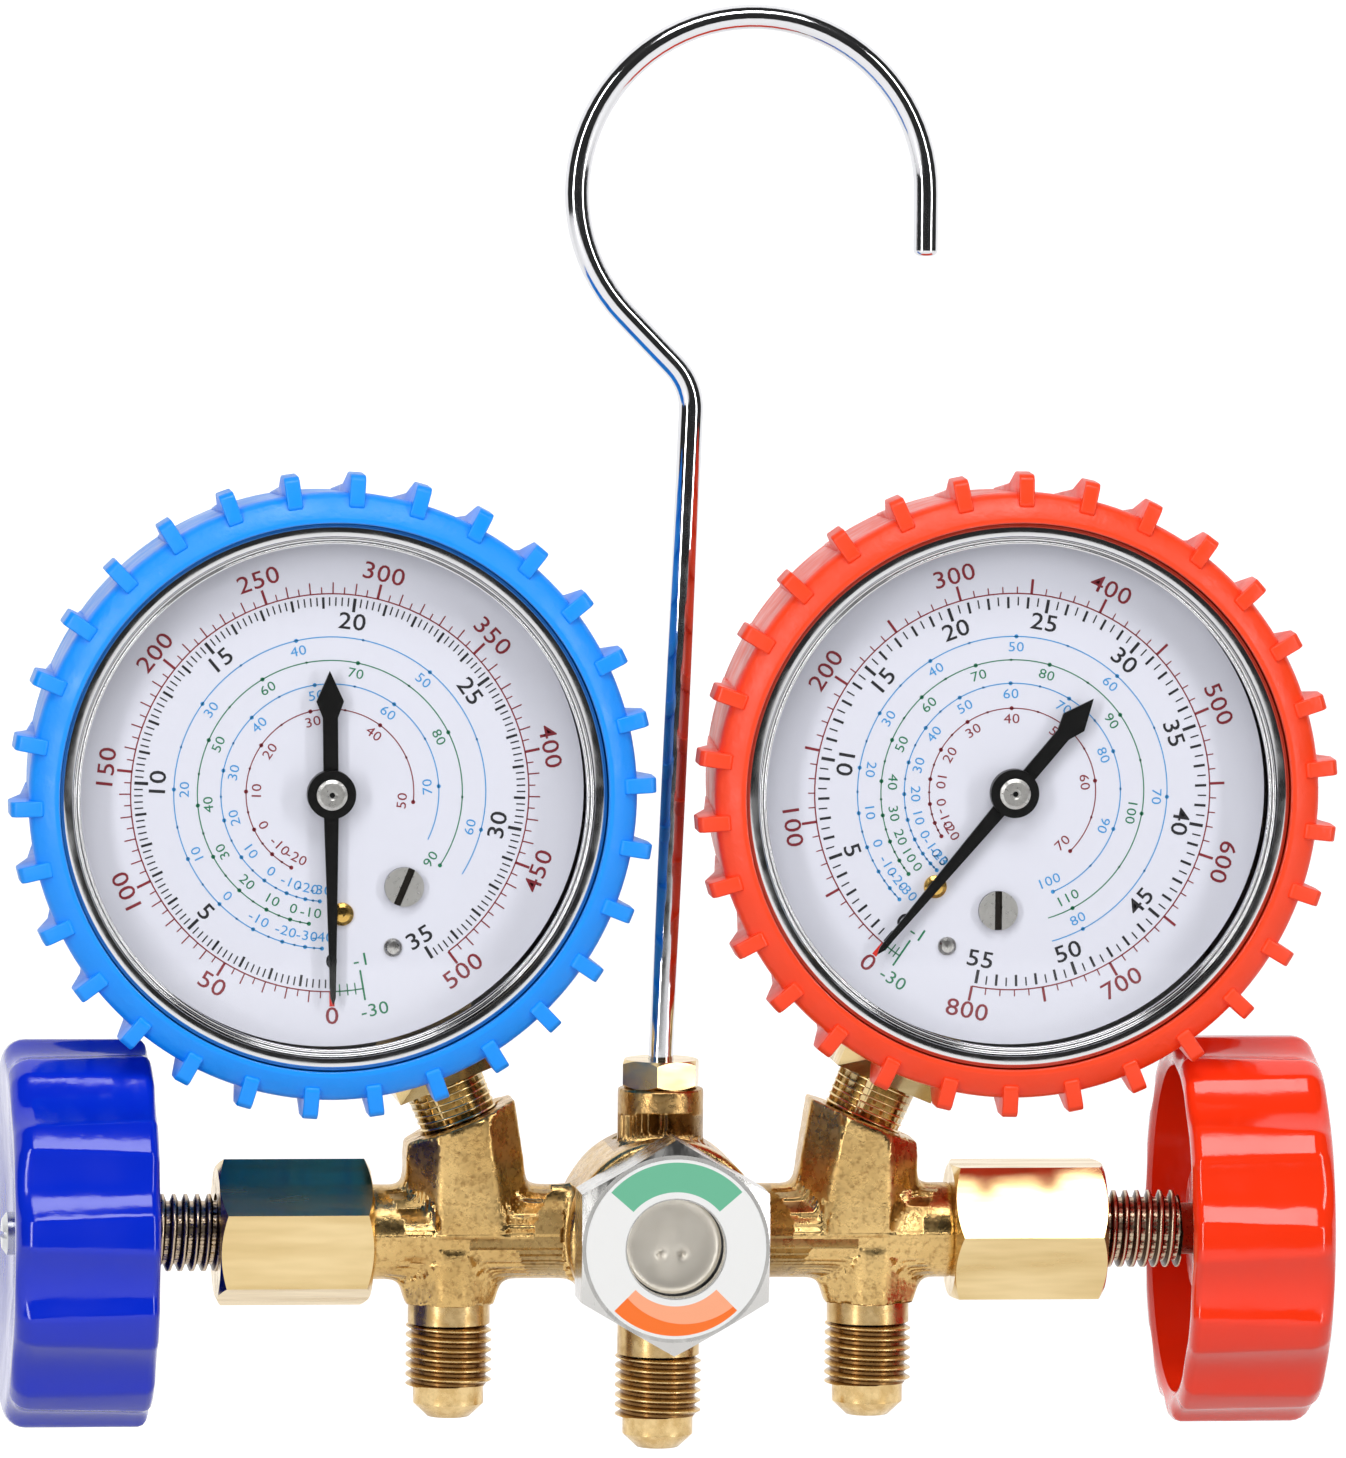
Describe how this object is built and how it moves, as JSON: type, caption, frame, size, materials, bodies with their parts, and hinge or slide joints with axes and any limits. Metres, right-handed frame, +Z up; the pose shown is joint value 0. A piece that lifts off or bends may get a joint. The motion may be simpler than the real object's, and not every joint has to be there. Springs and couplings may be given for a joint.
{
  "type": "refrigerant manifold gauge set",
  "caption": "Refrigerant manifold with low and high side dial gauges in rubber boots, shut-off valves with handwheels, flare ports, sight glass and a swivel hook.",
  "frame": {"origin": "inside of the hook's bend, at its top, where the set hangs from", "axes": "+X along the bar from the low side to the high side, -Y towards the reader of the dials, +Z up"},
  "size_m": [0.1697, 0.0496, 0.1856],
  "materials": {
    "forged_brass": "satin, grainy where forged, bright where turned",
    "turned_brass": "bright machined",
    "hook_chrome": "polished",
    "nickel": "satin",
    "screw_steel": "zinc plated",
    "case_steel": "drawn, satin",
    "polished_steel": "polished",
    "lens_clear": "clear",
    "dial_white": "matt print",
    "pointer_black": "matt",
    "rivet_brass": "bright",
    "movement_brass": "stamped, bright",
    "spring_bronze": "drawn",
    "rubber_black": "matt",
    "seal_white": "matt",
    "indicator_print": "printed green and orange",
    "boot_blue": "semi-matt",
    "boot_red": "semi-matt",
    "wheel_blue": "gloss",
    "wheel_red": "gloss"
  },
  "bodies": {
    "manifold": {"manifold_body": "forged_brass", "sight_glass_nut": "nickel", "sight_glass": "lens_clear", "sight_glass_gasket": "rubber_black", "sight_glass_ring": "indicator_print", "hook_nut": "turned_brass", "dial_rivets": "rivet_brass", "dial_pins": "nickel", "movement_screws": "movement_brass", "low_bonnet": "turned_brass", "low_bonnet_gasket": "seal_white", "low_socket": "turned_brass", "low_case": "case_steel", "low_bezel": "polished_steel", "low_lens": "lens_clear", "low_lens_gasket": "rubber_black", "low_dial": "dial_white", "low_movement_back_plate": "movement_brass", "low_movement_front_plate": "movement_brass", "low_boot": "boot_blue", "low_bourdon_tube": "spring_bronze", "low_hairspring": "spring_bronze", "high_bonnet": "turned_brass", "high_bonnet_gasket": "seal_white", "high_socket": "turned_brass", "high_case": "case_steel", "high_bezel": "polished_steel", "high_lens": "lens_clear", "high_lens_gasket": "rubber_black", "high_dial": "dial_white", "high_movement_back_plate": "movement_brass", "high_movement_front_plate": "movement_brass", "high_boot": "boot_red", "high_bourdon_tube": "spring_bronze", "high_hairspring": "spring_bronze"},
    "hook": {"hook": "hook_chrome"},
    "low_seat": {"low_seat_disc": "seal_white"},
    "low_spindle": {"low_spindle": "turned_brass", "low_spindle_seal": "rubber_black", "low_handwheel": "wheel_blue", "low_handwheel_screw": "screw_steel"},
    "low_sector": {"low_sector": "movement_brass"},
    "low_link": {"low_link": "movement_brass"},
    "low_pointer": {"low_pointer": "pointer_black", "low_pointer_cap": "nickel", "low_pinion": "movement_brass"},
    "low_zero_screw": {"low_zero_screw": "nickel"},
    "high_seat": {"high_seat_disc": "seal_white"},
    "high_spindle": {"high_spindle": "turned_brass", "high_spindle_seal": "rubber_black", "high_handwheel": "wheel_red", "high_handwheel_screw": "screw_steel"},
    "high_sector": {"high_sector": "movement_brass"},
    "high_link": {"high_link": "movement_brass"},
    "high_pointer": {"high_pointer": "pointer_black", "high_pointer_cap": "nickel", "high_pinion": "movement_brass"},
    "high_zero_screw": {"high_zero_screw": "nickel"}
  },
  "joints": [
    {"name": "hook_swivel", "type": "hinge", "parent": "manifold", "child": "hook", "pos_m": [-0.0106, 0, -0.143], "axis": [0, 0, 1], "continuous": true},
    {"name": "low_valve_travel", "type": "slide", "parent": "manifold", "child": "low_seat", "axis": [-1, 0, 0], "range_m": [0, 0.003]},
    {"name": "low_valve_turn", "type": "hinge", "parent": "low_seat", "child": "low_spindle", "pos_m": [-0.0706, 0, -0.154], "axis": [-1, 0, 0], "range_deg": [0, 720]},
    {"name": "low_sector_turn", "type": "hinge", "parent": "manifold", "child": "low_sector", "pos_m": [-0.03733, -0.0057, -0.10266], "axis": [0, 1, 0], "range_deg": [-29.55, 0.86], "stiffness_Nm_per_rad": 0.05, "deforming": ["low_bourdon_tube", "low_hairspring"]},
    {"name": "low_link_turn", "type": "hinge", "parent": "low_sector", "child": "low_link", "pos_m": [-0.0329, -0.0048, -0.10497], "axis": [0, 1, 0], "range_deg": [-0.96, 29.65]},
    {"name": "low_pointer_turn", "type": "hinge", "parent": "manifold", "child": "low_pointer", "pos_m": [-0.0543, -0.0109, -0.09665], "axis": [0, 1, 0], "range_deg": [-9.6, 325.2]},
    {"name": "low_zero_screw_turn", "type": "hinge", "parent": "manifold", "child": "low_zero_screw", "pos_m": [-0.04478, -0.0096, -0.10862], "axis": [0, 1, 0], "range_deg": [-60, 60]},
    {"name": "high_valve_travel", "type": "slide", "parent": "manifold", "child": "high_seat", "axis": [1, 0, 0], "range_m": [0, 0.003]},
    {"name": "high_valve_turn", "type": "hinge", "parent": "high_seat", "child": "high_spindle", "pos_m": [0.0494, 0, -0.154], "axis": [1, 0, 0], "range_deg": [0, 720]},
    {"name": "high_sector_turn", "type": "hinge", "parent": "manifold", "child": "high_sector", "pos_m": [0.04085, -0.0057, -0.1129], "axis": [0, 1, 0], "range_deg": [-30.1, 0.55], "stiffness_Nm_per_rad": 0.05, "deforming": ["high_bourdon_tube", "high_hairspring"]},
    {"name": "high_link_turn", "type": "hinge", "parent": "high_sector", "child": "high_link", "pos_m": [0.04235, -0.0048, -0.11767], "axis": [0, 1, 0], "range_deg": [-0.65, 30.2]},
    {"name": "high_pointer_turn", "type": "hinge", "parent": "manifold", "child": "high_pointer", "pos_m": [0.0331, -0.0109, -0.09665], "axis": [0, 1, 0], "range_deg": [-6.2, 331.3]},
    {"name": "high_zero_screw_turn", "type": "hinge", "parent": "manifold", "child": "high_zero_screw", "pos_m": [0.03137, -0.0096, -0.11185], "axis": [0, 1, 0], "range_deg": [-60, 60]}
  ],
  "couplings": [
    {"joint": "low_valve_travel", "follows": "low_valve_turn", "m_per_rad": 0.00023873},
    {"joint": "low_link_turn", "follows": "low_sector_turn", "ratio": -1},
    {"joint": "low_pointer_turn", "follows": "low_sector_turn", "ratio": -11},
    {"joint": "high_valve_travel", "follows": "high_valve_turn", "m_per_rad": 0.00023873},
    {"joint": "high_link_turn", "follows": "high_sector_turn", "ratio": -1},
    {"joint": "high_pointer_turn", "follows": "high_sector_turn", "ratio": -11}
  ]
}
